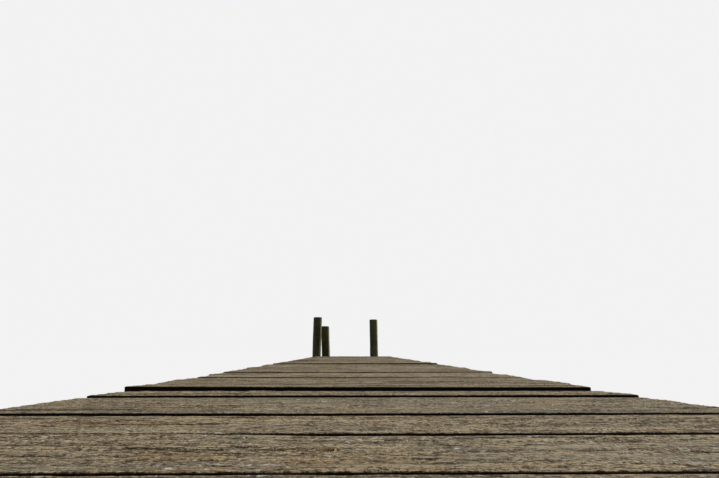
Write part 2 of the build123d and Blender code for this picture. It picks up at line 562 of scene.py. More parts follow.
def tube_faces(stations, columns):
    """Quads of a tube, outwards, for vertices numbered station by station."""
    i, j = np.meshgrid(np.arange(stations - 1), np.arange(columns), indexing="ij")
    k = (j + 1) % columns
    a, b = i * columns + j, (i + 1) * columns + j
    c, d = (i + 1) * columns + k, i * columns + k
    return np.stack([a, b, c, d], -1).reshape(-1, 4)


def cap(outer, indices, first, forward, middle):
    """Rings that close one end of a bar: their places, quads and triangles."""
    centre = outer.mean(0)
    rings = [centre + (outer - centre) * share for share in CAP_SHARES]
    rings = [r * np.array([0, 1, 1]) + np.array([middle, 0, 0]) for r in rings]
    centre = np.array([[middle, centre[1], centre[2]]])
    places = np.concatenate(rings + [centre])
    count = len(outer)
    indices = [indices] + [first + k * count + np.arange(count) for k in range(len(rings))]
    quads = []
    for a, b in zip(indices[:-1], indices[1:]):
        a_next, b_next = np.roll(a, -1), np.roll(b, -1)
        quads.append(np.stack([a, b, b_next, a_next] if forward else [a, a_next, b_next, b], -1))
    return places, np.concatenate(quads), fan(indices[-1], first + len(rings) * count, forward)


def fan(ring, hub, forward):
    """Triangles from a ring to a vertex in its middle."""
    after = np.roll(ring, -1)
    hubs = np.full(len(ring), hub)
    return np.stack([ring, hubs, after] if forward else [ring, after, hubs], -1)


# %% Round the arrises of a bar
SAWN_END_STATIONS = np.array([0.0, 0.0015, 0.005, 0.012])  # from an end, for its worn edge
END_WEAR = 0.0016
LIP_FADE = 0.012  # metres over which wood lifted beside a crack lies down again
FLAKE_SIZE = (7.0, 1.4)  # of a ridge's width, along the grain and across it
FLAKE_RIM_SHADE = 2.4  # how dark the painted shade on the rim of a flake is
CALM_EDGE = (0.002, 0.016)  # metres from a trodden edge: smooth up to the first, rough from the second


def opening(crack, x):
    """How far a crack is open along the bar, 0 to 1."""
    start = soft_step(x, crack["start"], crack["start"] + crack["taper"])
    end = 1 - soft_step(x, crack["end"] - crack["taper"], crack["end"])
    return start * end


def edge_lift(x, lift):
    """How much higher an edge stands: one number, or pairs of a place along the bar and a number."""
    return np.interp(x, *zip(*lift)) if isinstance(lift, tuple) else lift


def rounded(x, across, up, width, depth, shape):
    """Y and Z of a bar's surface with its arrises worn round, and the way that it faces."""
    seed = shape["seed"]
    y, z = across[None, :], up[None, :]

    # The grain wanders a little across the face, and the columns wander with it.
    fade = np.clip(1 - (2 * y / width) ** 2, 0, 1)
    y = y + shape["wander"] * fade * ripple(x / 0.34 + 3.0, y / 0.2, seed + 1)
    z = np.repeat(z, len(x), 0)

    # Each of the four arrises is rounded by its own amount, more where a chip has gone.
    corner = (across > 0) * 2 + (up > 0)
    spread = np.arange(4)[None, :] * 7.3
    wear = 1 + 0.4 * (1 - shape["calm_edges"]) * ripple(x / 0.05, spread, seed + 2)
    chips = soft_step(ripple(x / 0.028, spread, seed + 3), 0.6, 0.95) * shape["chips"]
    radius = (np.array(shape["arris"]) * wear + chips * ((np.arange(4) % 2) == 1))[:, corner]
    radius = np.clip(radius, 0.001, min(width, depth) * 0.4)
    inner_y = np.clip(y, -width / 2 + radius, width / 2 - radius)
    inner_z = np.clip(z, -depth / 2 + radius, depth / 2 - radius)
    out_y, out_z = y - inner_y, z - inner_z
    reach = np.maximum(np.hypot(out_y, out_z), 1e-9)
    out_y, out_z = out_y / reach, out_z / reach
    return inner_y + radius * out_y, inner_z + radius * out_z, out_y, out_z


# %% Raise its grain, its knots and the lips of its cracks
def weathered(x, y, z, out_z, across, owner, width, shape):
    """How far the surface stands up, what of that is grain, and the masks of cracks and knots."""
    seed = shape["seed"]
    turn = y + 1.7 * z
    rise = shape["lumps"] * ripple(x / 0.09, turn / 0.035, seed + 4)
    rise += shape["ridges"] * ripple(x / 0.2, turn / shape["ridge_width"], seed + 5)
    rise += shape["fibres"] * ripple(x / 0.021, turn / shape["ridge_width"], seed + 6)
    relief = rise / (shape["lumps"] + shape["ridges"] + shape["fibres"])
    flake_x, flake_y = (shape["ridge_width"] * size for size in FLAKE_SIZE)
    flake = soft_step(ripple(x / flake_x, turn / flake_y, seed + 8), 0.42, 0.56)
    rise += shape["flakes"] * flake
    rise *= 1 - shape["calm_edges"] * (1 - soft_step(width / 2 - abs(y), *CALM_EDGE))
    grain_y = y.copy()
    knot_mask = np.zeros_like(y)
    on_top = soft_step(out_z, 0.3, 0.8)
    for knot in shape["knots"]:
        off_x, off_y = x - knot["along"], y - knot["across"]
        away = np.hypot(off_x / 1.3, off_y) / knot["radius"]
        rise += on_top * knot["rise"] * np.exp(-(away**2))
        knot_mask = np.maximum(knot_mask, on_top * np.clip(1.25 - away, 0, 1))
        bend = np.exp(-((away / 5.0) ** 2)) / np.maximum((away / 1.5) ** 2, 1.0)
        grain_y -= on_top * off_y * bend
    # The rims of flakes are painted dark as the shade of their steps, in the same mask as cracks.
    crack_and_painted_rim_shade_mask = FLAKE_RIM_SHADE * flake * (1 - flake) * (shape["flakes"] > 0)
    for number, crack in enumerate(shape["cracks"]):
        open_here = opening(crack, x)
        gape = open_here * (owner == number)[None, :]
        gape = gape * (0.75 + 0.25 * ripple(x / 0.02, 0.5, seed + 7 + number))
        beyond = (across - crack["across"])[None, :]
        lip = np.where(beyond > crack["gap"] / 2, np.exp(-beyond / LIP_FADE), 0.0) * on_top
        rise += crack["lip"] * open_here * lip - crack["depth"] * gape
        crack_and_painted_rim_shade_mask = np.maximum(crack_and_painted_rim_shade_mask, gape)
    return rise, relief, crack_and_painted_rim_shade_mask, knot_mask, grain_y


# %% Make one worn bar
def worn_bar(bar, shape):
    """Vertices, faces and attributes of one bar, in its own place in the frame."""
    length, width, depth = bar["size"]
    seed = shape["seed"]
    x = even_places(length, SAWN_END_STATIONS, shape["steps"]["along"])[:, None]
    across, up, owner = bar_columns(width, depth, max(shape["arris"]), shape["steps"], shape["cracks"])
    columns = len(across)
    y, z, out_y, out_z = rounded(x, across, up, width, depth, shape)
    rise, relief, crack_and_painted_rim_shade_mask, knot_mask, grain_y = weathered(
        x, y, z, out_z, across, owner, width, shape
    )
    y, z = y + out_y * rise, z + out_z * rise

    # The sawn ends are a little ragged, out of square, and worn at their edges.
    from_end = length / 2 - abs(x)
    worn = END_WEAR * (1 - soft_step(from_end, 0.0, 0.005))
    y, z = y - out_y * worn, z - out_z * worn
    side = across[None, :]
    ragged = shape["ragged"] * ripple(side / 0.017 + np.sign(x) * 5, up[None, :] / 0.015, seed + 20)
    x_full = x + (ragged + shape["skew"] * side) * (1 - soft_step(from_end, 0.0, 0.01))

    # Warp: the underside stays on what carries it, and the top cups, twists and tilts.
    below = depth / 2 - z
    share = (z + depth / 2) / depth
    cup = shape["cup"] * (2 * y / width) ** 2
    twist = shape["twist"] * (2 * x / length) * (2 * y / width)
    bow = shape["bow"] * (1 - (2 * x / length) ** 2)
    near_lift, far_lift = (edge_lift(x, lift) for lift in shape["edges"])
    tilt = near_lift * (0.5 - y / width) + far_lift * (0.5 + y / width)
    z = z + share * (cup + twist + bow + tilt)

    tube = np.stack([x_full, y, z], -1).reshape(-1, 3)
    grain = np.stack([x + 0 * y, grain_y, z], -1).reshape(-1, 3)
    rows = len(x)
    quads = [tube_faces(rows, columns)]
    triangles = []
    places = [tube]
    first = len(tube)
    for row, forward in ((0, False), (rows - 1, True)):
        indices = row * columns + np.arange(columns)
        inside = x[row, 0] - np.sign(x[row, 0]) * shape["ragged"]
        cap_places, cap_quads, cap_triangles = cap(tube[indices], indices, first, forward, inside)
        rough = ripple(cap_places[:, 1] / 0.012, cap_places[:, 2] / 0.012, seed + 30 + forward)
        cap_places[:, 0] += shape["ragged"] * 0.6 * rough
        places.append(cap_places)
        quads.append(cap_quads)
        triangles.append(cap_triangles)
        first += len(cap_places)
    places = np.concatenate(places)
    grain = np.concatenate([grain, places[len(tube) :]])

    def with_ends(values, on_ends=0.0):
        """Numbers for the vertices of the tube, and one number for all those of its ends."""
        values = np.broadcast_to(values, y.shape).reshape(-1)
        return np.concatenate([values, np.full(len(places) - len(tube), on_ends)])

    spin_cos, spin_sin = cos(bar["turn"]), sin(bar["turn"])
    world = places.copy()
    world[:, 0] = places[:, 0] * spin_cos - places[:, 1] * spin_sin
    world[:, 1] = places[:, 0] * spin_sin + places[:, 1] * spin_cos
    world += np.array(bar["centre"])
    return {
        "places": world,
        "local": places,
        "quads": np.concatenate(quads),
        "triangles": np.concatenate(triangles),
        "grain": grain + np.array([shape["shift"], 0.0, 0.0]),
        "tone": shape["tone"],
        "cut": with_ends(0.0, 1.0),
        "below": with_ends(below),
        "rise": with_ends(relief),
        "crack": with_ends(crack_and_painted_rim_shade_mask),
        "knot": with_ends(knot_mask),
    }


# %% [markdown]
# One piece from many bars
#
# Each bay of boards is one node of the construction, so its boards become one mesh. The arrays
# of all bars are laid end to end, and the extra numbers that the finish reads go along as
# attributes: the grain's own coordinates, the tone of each board, and where cracks, knots,
# stains and damp are. The damp numbers also paint shade on board sides in the gaps, and the crack
# numbers paint shade on the rims of flakes. Arrays are handed to the mesh whole, because a loop
# over half a million faces would take minutes.
#
# %% Join shells into one object
SHARP = radians(38)
POINT_NUMBERS = ("tone", "rise", "crack", "knot", "cut", "stain", "damp")


def joined(name, parts, material):
    """One object from the arrays of several closed shells."""
    offsets = np.cumsum([0] + [len(part["places"]) for part in parts[:-1]])
    quads = np.concatenate([part["quads"] + offset for part, offset in zip(parts, offsets)])
    triangles = np.concatenate([part["triangles"] + offset for part, offset in zip(parts, offsets)])
    places = np.concatenate([part["places"] for part in parts])
    mesh = bpy.data.meshes.new(name)
    mesh.vertices.add(len(places))
    mesh.vertices.foreach_set("co", places.ravel())
    mesh.loops.add(quads.size + triangles.size)
    mesh.loops.foreach_set("vertex_index", np.concatenate([quads.ravel(), triangles.ravel()]))
    starts = np.concatenate([np.arange(len(quads)) * 4, quads.size + np.arange(len(triangles)) * 3])
    mesh.polygons.add(len(starts))
    mesh.polygons.foreach_set("loop_start", starts)
    mesh.update(calc_edges=True)
    grain = mesh.attributes.new("grain", "FLOAT_VECTOR", "POINT")
    grain.data.foreach_set("vector", np.concatenate([part["grain"] for part in parts]).ravel())
    for kind in POINT_NUMBERS:
        values = [np.broadcast_to(part.get(kind, 0.0), len(part["places"])) for part in parts]
        mesh.attributes.new(kind, "FLOAT", "POINT").data.foreach_set("value", np.concatenate(values))
    mesh.polygons.foreach_set("use_smooth", np.ones(len(mesh.polygons), bool))
    mesh.set_sharp_from_angle(angle=SHARP)
    mesh.materials.append(material)
    print(name, "made of", len(parts), "shells and", len(quads) * 2 + len(triangles), "triangles")
    return put_in_scene(name, mesh)


def hand_on(piece, slot, *stood_for):
    """Hides the nodes that a piece stands for and lets it ride with the jetty; the slot is not used.
    """
    for node in stood_for:
        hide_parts(node)
    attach(piece, BODY)


# %% [markdown]
# The deck boards
#
# The boards nearest the eye fill a third of the picture, so each of them is a piece of its own
# with columns two millimetres apart, and boards further off get fewer. Which way a board cups,
# how much it twists and where its knots lie is drawn at random from a fixed seed, but the edges
# of some boards are given one by one: the photograph shows them standing up as dark lines.
#
# %% Draw the lot of one board
TONES = {5: -0.1, 6: 0.2, 7: 0.1, 8: -0.8, 9: -0.5, 10: -0.8}  # -1 dark to 1 light, by place
EDGE_LIFTS = {  # metres that a board's near edge and far edge stand higher, by place
    5: (0.0015, 0.0021),
    6: (0.0009, ((-0.24, 0.0028), (-0.14, 0.0016), (-0.05, -0.0002))),
    7: (0.0018, -0.0009),
    8: (((-0.5, 0.0018), (-0.1, 0.0002)), -0.0042),
    9: (0.0022, -0.0045),
    10: (0.0022, -0.001),
    11: (0.0005, 0.0),
    13: (-0.0005, 0.0),
    14: (0.0, -0.0015),
    15: (0.002, 0.0),
    17: (-0.003, 0.0),
    22: (0.0, -0.0055),
    23: (0.005, 0.0),
    24: (-0.003, 0.0),
}
NEAR_FROM, NEAR_TO = 0.2, 1.3  # metres ahead of the eye
NEAR_STEPS = {"along": 0.0042, "top": 0.0021, "right": 0.009, "bottom": 0.03, "left": 0.006}
FAR_STEPS = {"along": 0.018, "top": 0.0062, "right": 0.015, "bottom": 0.05, "left": 0.015}


def is_near(board):
    """Whether a board is close enough to the eye for the finest mesh."""
    ahead = board["centre"][1] - eye.y
    half = board["size"][1] / 2
    return ahead + half > NEAR_FROM and ahead - half < NEAR_TO


def timber_cracks(rng, length, width, count, face, gap=1.0):
    """Cracks in one face of a bar. Most open at an end."""
    cracks = []
    for lane in rng.permutation(np.linspace(-0.38, 0.38, 2 * count + 1))[:count] * width:
        reach = rng.uniform(0.08, 0.34)
        start = rng.uniform(-0.45, 0.2) * length
        end = start + reach * 1.2
        if rng.random() < 0.55:
            start, end = length / 2 - reach, length / 2 + 0.3
            if rng.random() < 0.5:
                start, end = -end, -start
        cracks.append({
            "face": face,
            "across": lane,
            "gap": rng.uniform(0.0007, 0.0016) * gap,
            "depth": rng.uniform(0.003, 0.007),
            "lip": rng.uniform(0.0, 0.0016) * (face == "top"),
            "start": start,
            "end": end,
            "taper": rng.uniform(0.03, 0.09),
        })
    return cracks


def board_shape(place, board):
    """Everything that makes one board differ from the next."""
    rng = np.random.default_rng(500 + place)
    length, width = board["size"][:2]
    near = is_near(board)
    knots = []
    for _ in range(rng.integers(1, 5)):
        knots.append({
            "along": rng.uniform(-0.47, 0.47) * length,
            "across": rng.uniform(-0.36, 0.36) * width,
            "radius": rng.uniform(0.005, 0.014) * (0.6 if near else 1.0),
            "rise": rng.uniform(0.0005, 0.0014) * (0.4 if near else 1.0),
        })
    return {
        "seed": 1000 + 50 * place,
        "shift": 3.7 * place,
        "steps": NEAR_STEPS if near else FAR_STEPS,
        "cracks": timber_cracks(rng, length, width, 4 if near else 3, "top", 1.0 if near else 1.3),
        "knots": knots,
        "arris": (0.002, 0.0015, 0.002, 0.003),  # near side low and high, then far side
        "chips": 0.0009 if near else 0.003,
        "calm_edges": 0.75,
        "wander": rng.uniform(0.002, 0.006),
        "lumps": 0.0005,
        "ridges": 0.0005,
        "fibres": 0.0006,
        "flakes": 0.0008,
        "ridge_width": 0.0065 if near else 0.014,
        "ragged": 0.0013,
        "skew": rng.uniform(-0.012, 0.012),
        "cup": rng.uniform(-0.0012, 0.0016) * (0.4 if near else 1.0),
        "twist": rng.uniform(-0.0014, 0.0014) * (0.3 if near else 1.0),
        "bow": rng.uniform(-0.001, 0.001),
        "edges": EDGE_LIFTS.get(place, (rng.uniform(-0.001, 0.0015), 0.0)),
        "tone": TONES.get(place, rng.uniform(-1.4, 0.3)),
    }


# %% Nail places, which also stain the wood round them
STRINGER_LINES = sorted({round((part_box(n)[0].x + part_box(n)[1].x) / 2, 3) for n in stringer_nodes})
NAIL_INSET = 0.26  # of a board's width, from its middle to a nail
NAIL_STRAY = 0.006


def nail_places(place, board):
    """Two nails into each stringer, in the board's own coordinates."""
    rng = np.random.default_rng(900 + place)
    width = board["size"][1]
    spots = []
    for line in STRINGER_LINES:
        for side in (-1, 1):
            stray = rng.uniform(-NAIL_STRAY, NAIL_STRAY, 2)
            spots.append((line - board["centre"][0] + stray[0], side * NAIL_INSET * width + stray[1]))
    return spots


def iron_stain(local, spots):
    """Dark bloom that wet iron leaves in the wood, drawn out along the grain."""
    bloom = np.zeros(len(local))
    for along, across in spots:
        away = np.hypot((local[:, 0] - along) / 0.016, (local[:, 1] - across) / 0.006)
        bloom = np.maximum(bloom, np.exp(-(away**2)))
    return bloom * (local[:, 2] > 0)


# %% Make the boards of every bay
# Board sides in the gaps are painted dark as shade, starting at the first depth below the top and full
# from the second.
GAP_SHADE_FROM, GAP_SHADE_FULL = 0.0004, 0.0016  # metres below a board's top
GAP_REACH = 0.008
LAST_PLACE = sum(len(bay) for bay in boards.values()) - 1
OPEN_SIDE = {0: -1, LAST_PLACE: 1}  # the first board and the last have no gap on one side
NAIL_SINK = 0.0003


def worn_board(place, board):
    """One board's arrays, and the places of its nail heads."""
    part = worn_bar(board, board_shape(place, board))
    local = part["local"]
    spots = nail_places(place, board)
    part["stain"] = iron_stain(local, spots)
    below_top = soft_step(part["below"], GAP_SHADE_FROM, GAP_SHADE_FULL)
    in_gap = soft_step(abs(local[:, 1]), board["size"][1] / 2 - GAP_REACH, board["size"][1] / 2)
    in_gap *= local[:, 1] * OPEN_SIDE.get(place, 0) <= 0
    # Painted shade on the sides of boards that face a gap, kept in the damp numbers.
    part["damp"] = below_top * in_gap * (1 - part["cut"])
    heads = []
    for along, across in spots:
        away = np.hypot(local[:, 0] - along, local[:, 1] - across) + (local[:, 2] < 0)
        heads.append(part["places"][np.argmin(away)] - np.array([0, 0, NAIL_SINK]))
    return part, heads


nails = []
place = 0
for bay, bay_boards in boards.items():
    shared = []
    pieces = []
    for board in bay_boards:
        part, heads = worn_board(place, board)
        nails += heads
        if is_near(board):
            pieces.append(joined(f"near_board_{place}", [part], deck_wood))
        else:
            shared.append(part)
        place += 1
    pieces.append(joined(bay.replace("deck_boards", "worn_boards"), shared, deck_wood))
    for piece in pieces:
        hand_on(piece, "deck_boards", bay)
print("boards", place, "nails", len(nails))

# %% [markdown]
# Crossbeams
#
# The crossbeams clamp the piles in pairs. They are sawn square, carry the stringers on their
# tops and were never walked on, so their arrises stay keener and their faces flat, but their
# sides have dried into long checks. They are worn bars as the boards are, with no warp, so that
# they still touch what they carry.
#
# %% Make the crossbeams
BEAM_STEPS = {"along": 0.014, "top": 0.012, "right": 0.011, "bottom": 0.013, "left": 0.011}
BEAM_CRACKS = {"left": 3, "right": 3, "top": 1, "bottom": 1}
SPLASH_TOP = 0.36  # metres above the piles' feet, up to which the timber stays wet
FLAT_AND_STILL = dict.fromkeys(("calm_edges", "flakes", "cup", "twist", "bow"), 0.0)


def beam_shape(number, beam):
    """One crossbeam's wear."""
    rng = np.random.default_rng(300 + number)
    length, width, depth = beam["size"]
    cracks = []
    for face, count in BEAM_CRACKS.items():
        extent = width if face in ("top", "bottom") else depth
        cracks += timber_cracks(rng, length, extent, count, face, 1.6)
    return FLAT_AND_STILL | {
        "seed": 6000 + 50 * number,
        "shift": 400.0 + 2.3 * number,
        "steps": BEAM_STEPS,
        "cracks": cracks,
        "knots": [],
        "arris": (0.005, 0.004, 0.005, 0.004),
        "chips": 0.004,
        "wander": 0.004,
        "lumps": 0.0006,
        "ridges": 0.0004,
        "fibres": 0.0002,
        "ridge_width": 0.024,
        "ragged": 0.0015,
        "skew": rng.uniform(-0.01, 0.01),
        "edges": (0.0, 0.0),
        "tone": rng.uniform(-1.0, 1.0),
    }


for number, (name, beam) in enumerate(beams.items()):
    part = worn_bar(beam, beam_shape(number, beam))
    part["damp"] = (1 - soft_step(part["places"][:, 2], beam["centre"][2] - 0.07, SPLASH_TOP)) * 0.5
    hand_on(joined("worn_" + name, [part], beam_wood), "crossbeams", name)

# %% [markdown]
# Piles and posts
#
# A pile is a trunk, driven with its thin end down. It dries from outside in, and because a trunk
# shrinks more round its rings than across them, it splits in deep radial checks that run down its
# sides and show as a star on its sawn top. Where the crossbeams bear on it, it has been cut flat.
# The solids end the last row's right-hand pole a hand above the deck. In the photograph it is a
# third mooring post, so here the same trunk runs on to its full height, with a slight sweep
# towards the middle.
#
# %% The line and girth of a pole
TOP_SLICE = 0.0055  # holds the rim of a leaning head, but not the next rim below it
NO_SEAT = 1e3


def pole_line(node):
    """Centres and radii at the foot and head of a pole, from the corners of its solid."""
    corners = shells(node)[0]
    ends = []
    for ring in (
        corners[corners[:, 2] < corners[:, 2].min() + MERGE],
        corners[corners[:, 2] > corners[:, 2].max() - TOP_SLICE],
    ):
        low, high = ring.min(0), ring.max(0)
        ends.append(((low + high) / 2, (high[0] - low[0]) / 2))
    return ends


def seats(node):
    """Y of the crossbeams' faces that a pole is cut flat for, in front of it and behind it."""
    low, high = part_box(node)
    middle = (low.y + high.y) / 2
    front, back = -NO_SEAT, NO_SEAT
    for beam in beam_nodes:
        beam_low, beam_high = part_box(beam)
        if beam_high.y < middle and beam_high.y > low.y:
            front = max(front, beam_high.y)
        if beam_low.y > middle and beam_low.y < high.y:
            back = min(back, beam_low.y)
    return front, back


BEAM_LOW, BEAM_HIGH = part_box(beam_nodes[0])[0].z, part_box(beam_nodes[0])[1].z
print("piles", len(pole_nodes), "seats from", round(BEAM_LOW, 3), "to", round(BEAM_HIGH, 3))

# %% Rings of a pole
POLE_COLUMNS = 88
RING_STEP = 0.012
SHOULDER = 0.0006  # half the height of the cut shoulder above and below a seat
ROUND_STEPS = np.linspace(0.0, pi / 2, 6)
TOP_SHARES = (0.9, 0.76, 0.58, 0.38, 0.18)
SUNNY_SIDE = radians(34)  # turned from +X towards +Y
PAINTED_SHADE_TONE, BLEACH_AND_SUN_TONE = -2.7, 8.0  # the side towards the key light is painted lighter, as bleaching and painted sunlight, and the other darker, as painted shade
POLE_SHRINKAGE = 0.0015
SUN_EDGE = (0.05, 0.5)  # how far a face looks to the key light where the bleaching and painted light start and are full
RELIEF = (  # height, length along the pole and steps round it of one bump
    (0.0022, 0.3, 16),  # old branches
    (0.0011, 0.08, 4),  # fluting
    (0.0006, 0.05, 1),  # ridges of fibres
)
CHECK_FADE = 0.12  # metres over which a check closes at its lower end
RIGHT_POST = "pile_6_right_stub"
RIGHT_POST_RISE = 0.612  # above the deck
RIGHT_POST_SWEEP = -0.0156  # of the square of the height over the crossbeams


def pole_rings(top, rounding, dapped):
    """Height, inset and share of the radius for every ring from the foot up."""
    heights = np.arange(0.0, top - rounding, RING_STEP)
    if dapped:
        for shoulder in (BEAM_LOW, BEAM_HIGH):
            heights = heights[abs(heights - shoulder) > RING_STEP / 3]
            both = shoulder + np.array([-SHOULDER, SHOULDER])
            heights = np.append(heights, both[both < top])
    heights = np.sort(heights)
    rings = [(0.0, 0.0, share) for share in (0.35, 0.75)]
    rings += [(height, 0.0, 1.0) for height in heights]
    rings += [(top - rounding * (1 - sin(a)), rounding * (1 - cos(a)), 1.0) for a in ROUND_STEPS]
    rings += [(top, rounding, share) for share in TOP_SHARES]
    return np.array(rings)


def pole_checks(rng, top, deep):
    """Radial splits: angle, half gap, depth and how far down each runs."""
    checks = []
    count = rng.integers(5, 9)
    for angle in (np.arange(count) + rng.uniform(-0.3, 0.3, count)) * (2 * pi / count):
        checks.append({
            "angle": angle % (2 * pi),
            "gap": rng.uniform(0.0012, 0.0035),
            "depth": rng.uniform(0.35, 1.0) * deep,
            "end": top - rng.uniform(0.15, 0.95) * top,
        })
        rng.random()  # a spare draw, which nothing uses
    return checks


def apart(first, second):
    """The angle between two directions."""
    return abs((first - second + pi) % (2 * pi) - pi)


def pole_angles(checks, radius):
    """Angles of the columns round a pole, clockwise as seen from above, with three to a check."""
    angles = np.linspace(0.0, 2 * pi, POLE_COLUMNS, endpoint=False)
    for check in checks:
        half = check["gap"] / radius
        angles = angles[apart(angles, check["angle"]) > 1.6 * half]
        angles = np.append(angles, (check["angle"] + half * np.array([-1.0, 0.0, 1.0])) % (2 * pi))
    return np.sort(angles)[::-1]


def pole_surface(z, theta, sides, girth, checks, seed):
    """Radius all over a pole, what of that is relief, and the mask of its checks."""
    around = theta * CELLS / (2 * pi)  # so that the noise closes on itself
    relief = 0.0
    for kind, (high, long, wide) in enumerate(RELIEF):
        relief = relief + high * ripple(z / long, around / wide, seed + kind)
    radius = girth + relief - POLE_SHRINKAGE
    crack_and_painted_rim_shade_mask = np.zeros_like(radius)
    for index, check in enumerate(checks):
        gape = soft_step(z, check["end"], check["end"] + CHECK_FADE)
        gape = gape * (0.7 + 0.3 * ripple(z / 0.05, 0.5, seed + 10 + index))
        gape = gape * (apart(theta, check["angle"]) < 1e-6)
        radius = radius - check["depth"] * gape * sides
        crack_and_painted_rim_shade_mask = np.maximum(crack_and_painted_rim_shade_mask, gape)
    return radius, relief, crack_and_painted_rim_shade_mask


# %% Make one worn pole
def worn_pole(node, number, rounding, deep):
    """Vertices, faces and attributes of one pile or post."""
    rng = np.random.default_rng(40 + number)
    (foot, foot_radius), (head, head_radius) = pole_line(node)
    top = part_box(node)[1].z - rounding * 0.1
    if node == RIGHT_POST:
        top = DECK_TOP + RIGHT_POST_RISE
        head_radius = foot_radius - rounding
    front, back = seats(node)
    checks = pole_checks(rng, top, deep)
    angles = pole_angles(checks, foot_radius)
    rings = pole_rings(top, rounding, front > -NO_SEAT or back < NO_SEAT)
    z, inset, share = (column[:, None] for column in rings.T)

    # Each ring keeps to the pole's taper, its lean and its sweep, and is flat at its seats.
    rise_share = z / top
    girth = foot_radius + (head_radius + rounding - foot_radius) * rise_share
    theta = angles[None, :]
    seed = 8000 + 50 * number
    radius, relief, crack_and_painted_rim_shade_mask = pole_surface(z, theta, share == 1.0, girth, checks, seed)
    radius = (radius - inset) * share
    sway = 0.05 * ripple(z / 0.4, 0.5, seed + 9)
    sweep = RIGHT_POST_SWEEP * np.maximum(z - BEAM_HIGH, 0) ** 2 if node == RIGHT_POST else 0.0
    axis_x, axis_y = (foot[k] + (head[k] - foot[k]) * rise_share for k in (0, 1))
    x = axis_x + sweep + radius * np.cos(theta + sway)
    y = axis_y + radius * np.sin(theta + sway)
    seated = (z > BEAM_LOW) & (z < BEAM_HIGH)
    y = np.where(seated, np.clip(y, front, back), y)

    # The sawn top: checks cut into it, and its middle is a little worn.
    on_top = (rings[:, 2] < 1.0) & (rings[:, 0] > 0)
    groove = crack_and_painted_rim_shade_mask * share * 0.012 * on_top[:, None]
    saw = 0.0012 * ripple(x / 0.02, y / 0.02, seed + 5) * on_top[:, None]
    height = z + saw - groove + 0 * theta

    tube = np.stack([x, y, height], -1).reshape(-1, 3)
    columns = len(angles)
    foot_hub = np.array([foot[0], foot[1], 0.0])
    head_hub = np.array([np.mean(x[-1]), head[1], top])
    places = np.concatenate([tube, [foot_hub, head_hub]])
    last = (len(rings) - 1) * columns
    foot_ring, head_ring = np.arange(columns), last + np.arange(columns)
    ends = [fan(foot_ring, len(tube), False), fan(head_ring, len(tube) + 1, True)]
    # Piles are painted lighter on the side towards the key light, as bleaching and painted sunlight,
    # and darker on the other side, as painted shade.
    facing = np.clip(np.cos(theta + sway - SUNNY_SIDE), 0, 1) + 0 * z
    bleach_and_painted_light = PAINTED_SHADE_TONE + (BLEACH_AND_SUN_TONE - PAINTED_SHADE_TONE) * soft_step(facing, *SUN_EDGE)
    across = tube[:, :2].reshape(len(rings), columns, 2) - np.stack([axis_x, axis_y], -1)
    grain = np.concatenate([height[:, :, None], across], -1).reshape(-1, 3)
    grain = np.concatenate([grain, [[0.0, 0.0, 0.0], [top, 0.0, 0.0]]])

    def with_hubs(values, *hubs):
        """Numbers for the vertices of the tube, and one for each end's middle."""
        return np.append(values.reshape(-1), hubs or (0, 0))

    return {
        "places": places,
        "quads": tube_faces(len(rings), columns),
        "triangles": np.concatenate(ends),
        "grain": grain + np.array([900.0 + 5.1 * number, 0.0, 0.0]),
        "tone": rng.uniform(-1.0, 1.0) + with_hubs(bleach_and_painted_light),
        "rise": with_hubs(relief / sum(high for high, _, _ in RELIEF)),
        "crack": with_hubs(crack_and_painted_rim_shade_mask),
        "cut": with_hubs(np.repeat(on_top * 1.0, columns), 0, 1),
        "damp": (1 - soft_step(places[:, 2], 0.02, 0.3)) * 0.8,
    }


# %% Make the piles and posts
ROUNDING = {"mooring": 0.014, "pile": 0.003}  # of a head, by kind
CHECK_DEPTH = {"mooring": 0.018, "pile": 0.01}

for number, name in enumerate(pole_nodes):
    kind = "mooring" if name == RIGHT_POST else name.split("_")[0]
    part = worn_pole(name, number, ROUNDING[kind], CHECK_DEPTH[kind])
    title = "mooring_post_right" if name == RIGHT_POST else name
    slot = "posts" if kind == "mooring" else "piles"
    hand_on(joined("worn_" + title, [part], pole_wood), slot, name)

# %% [markdown]
# Rusty iron
#
# Nails and bolts that stay damp rust within a season. The rust is not one brown: it is orange
# where it is fresh, near black where it has grown thick, and rough all over.
#
# %% The rust recipe
RUST_STOPS = [
    (0.3, (0.02, 0.013, 0.01)),
    (0.5, (0.045, 0.024, 0.014)),
    (0.66, (0.11, 0.05, 0.022)),
    (0.8, (0.07, 0.062, 0.055)),
]


def rusty_iron(name):
    """Iron with a crust of rust."""
    paint = Recipe(name)
    place = paint.add("ShaderNodeTexCoord", {}, {}, "Object")
    patch = paint.noise(place, (90.0, 90.0, 90.0), 4.0, 0.6)
    crumb = paint.noise(place, (900.0, 900.0, 900.0), 3.0, 0.65)
    mixed = patch * 0.6 + crumb * 0.4
    colour = paint.ramp(mixed, RUST_STOPS)
    metal = paint.curve(mixed, 0.62, 0.78) * 0.6
    roughness = 0.92 - metal * 0.5
    return paint.surface(colour, roughness, crumb, 0.0004, Metallic=metal)


rust = rusty_iron("rusty_iron")

